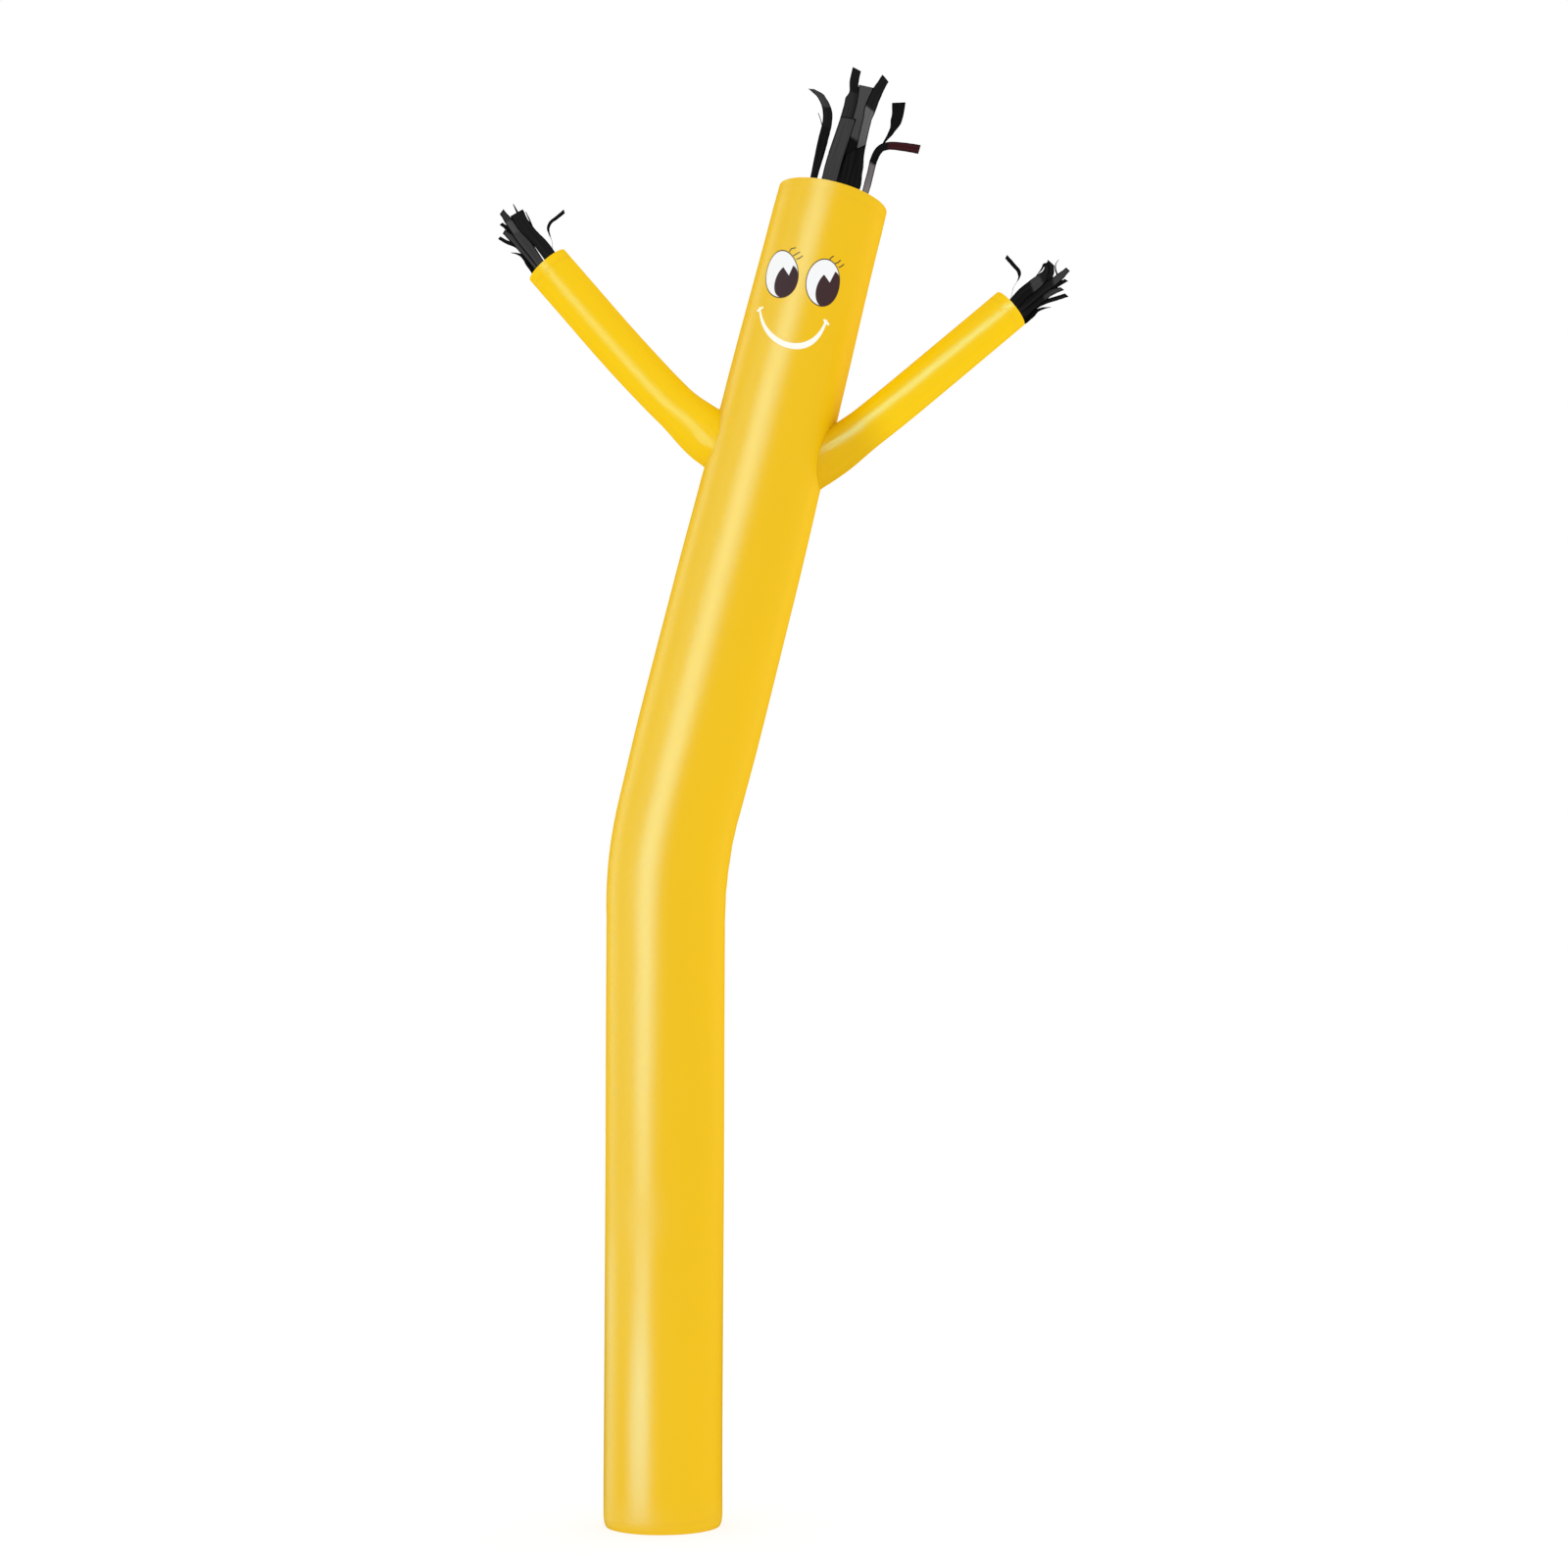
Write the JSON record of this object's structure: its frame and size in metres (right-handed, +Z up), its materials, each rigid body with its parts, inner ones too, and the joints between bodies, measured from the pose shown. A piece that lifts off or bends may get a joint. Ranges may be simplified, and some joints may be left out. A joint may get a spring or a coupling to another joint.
{
  "type": "inflatable air dancer",
  "caption": "Tall yellow cloth tube figure leaning sideways, open at its foot, head and hands, with raised arms, a printed smiling face and loose black ribbons.",
  "frame": {"origin": "centre of the foot's open end, on the surface that the figure stands on", "axes": "+Z up the stem, +X to the right in a front view, the way the figure leans, -Y the way the face looks"},
  "size_m": [1.2716, 0.267, 3.1957],
  "materials": {
    "body_cloth": "yellow nylon cloth with a soft sheen",
    "arm_cloth": "bright yellow nylon cloth with a soft sheen",
    "ribbon_cloth": "black nylon ribbon"
  },
  "bodies": {
    "root": {"body_tube": "body_cloth", "arm_left": "arm_cloth", "arm_right": "arm_cloth", "ribbons_head": "ribbon_cloth", "ribbons_left_hand": "ribbon_cloth", "ribbons_right_hand": "ribbon_cloth"}
  },
  "joints": []
}
